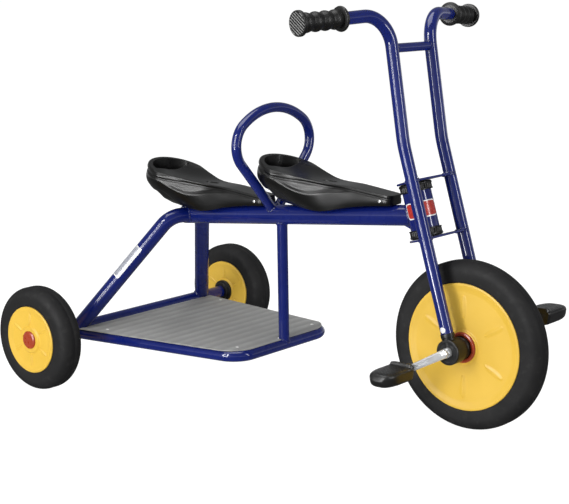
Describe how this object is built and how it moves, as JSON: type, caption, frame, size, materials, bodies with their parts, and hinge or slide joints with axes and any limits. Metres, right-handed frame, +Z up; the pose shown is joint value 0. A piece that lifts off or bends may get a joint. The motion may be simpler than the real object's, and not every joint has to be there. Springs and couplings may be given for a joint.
{
  "type": "tandem toddler tricycle",
  "caption": "Low steel-tube tricycle for a pedalling rider and a standing or seated passenger: raked fork, direct-drive front wheel, saddles in line, handle loop and rear deck.",
  "frame": {"origin": "on the floor below the middle of the tricycle's overall length and width, standing on its three wheels", "axes": "+X forwards towards the front wheel, +Y to the rider's left, +Z up"},
  "size_m": [1.131, 0.667, 0.7849],
  "materials": {
    "blue_paint": "glossy deep blue powder coat",
    "grey_plate": "grey ribbed anti-slip plate",
    "black_plastic": "satin black moulded plastic",
    "black_rubber": "matt black rubber",
    "yellow_plastic": "satin warm yellow moulded plastic",
    "red_plastic": "brick red moulded plastic",
    "chrome": "bright chrome plate",
    "steel": "bare turned steel"
  },
  "bodies": {
    "frame": {"main_tube": "blue_paint", "head_tube": "blue_paint", "head_cap_upper": "black_plastic", "head_cap_lower": "black_plastic", "gusset": "blue_paint", "rear_strut_right": "blue_paint", "rear_strut_left": "blue_paint", "axle_tube": "blue_paint", "rear_axle": "steel", "deck_frame": "blue_paint", "deck_plate": "grey_plate", "post": "blue_paint", "passenger_loop": "blue_paint", "front_seat": "black_plastic", "rear_seat": "black_plastic"},
    "steering": {"fork_tube_right": "blue_paint", "fork_tube_left": "blue_paint", "brace": "blue_paint", "steering_spindle": "steel", "crown_plate_upper": "blue_paint", "crown_plate_lower": "blue_paint", "grip_right": "black_rubber", "grip_left": "black_rubber", "hub_housing_right": "black_plastic", "hub_housing_left": "black_plastic"},
    "front_wheel": {"front_tyre": "black_rubber", "front_disc": "yellow_plastic", "front_hub_ring_right": "red_plastic", "front_hub_ring_left": "red_plastic", "front_hub_collar_right": "black_plastic", "front_hub_collar_left": "black_plastic", "crank_axle": "chrome"},
    "pedal_right": {"pedal_right": "black_rubber"},
    "pedal_left": {"pedal_left": "black_rubber"},
    "rear_wheel_right": {"rear_tyre_right": "black_rubber", "rear_disc_right": "yellow_plastic", "rear_cap_right": "red_plastic", "rear_collar_right": "black_plastic"},
    "rear_wheel_left": {"rear_tyre_left": "black_rubber", "rear_disc_left": "yellow_plastic", "rear_cap_left": "red_plastic", "rear_collar_left": "black_plastic"}
  },
  "joints": [
    {"name": "steer", "type": "hinge", "parent": "frame", "child": "steering", "pos_m": [0.29699, 0, 0.3995], "axis": [-0.2723, 0, 0.9622], "range_deg": [-50, 50]},
    {"name": "front_wheel_spin", "type": "hinge", "parent": "steering", "child": "front_wheel", "pos_m": [0.4055, 0, 0.16], "axis": [0, 1, 0], "continuous": true},
    {"name": "rear_wheel_right_spin", "type": "hinge", "parent": "frame", "child": "rear_wheel_right", "pos_m": [-0.4575, -0.3, 0.108], "axis": [0, 1, 0], "continuous": true},
    {"name": "rear_wheel_left_spin", "type": "hinge", "parent": "frame", "child": "rear_wheel_left", "pos_m": [-0.4575, 0.3, 0.108], "axis": [0, 1, 0], "continuous": true},
    {"name": "pedal_right_spin", "type": "hinge", "parent": "front_wheel", "child": "pedal_right", "pos_m": [0.31985, -0.13, 0.11446], "axis": [0, 1, 0], "continuous": true},
    {"name": "pedal_left_spin", "type": "hinge", "parent": "front_wheel", "child": "pedal_left", "pos_m": [0.49115, 0.13, 0.20554], "axis": [0, 1, 0], "continuous": true}
  ]
}
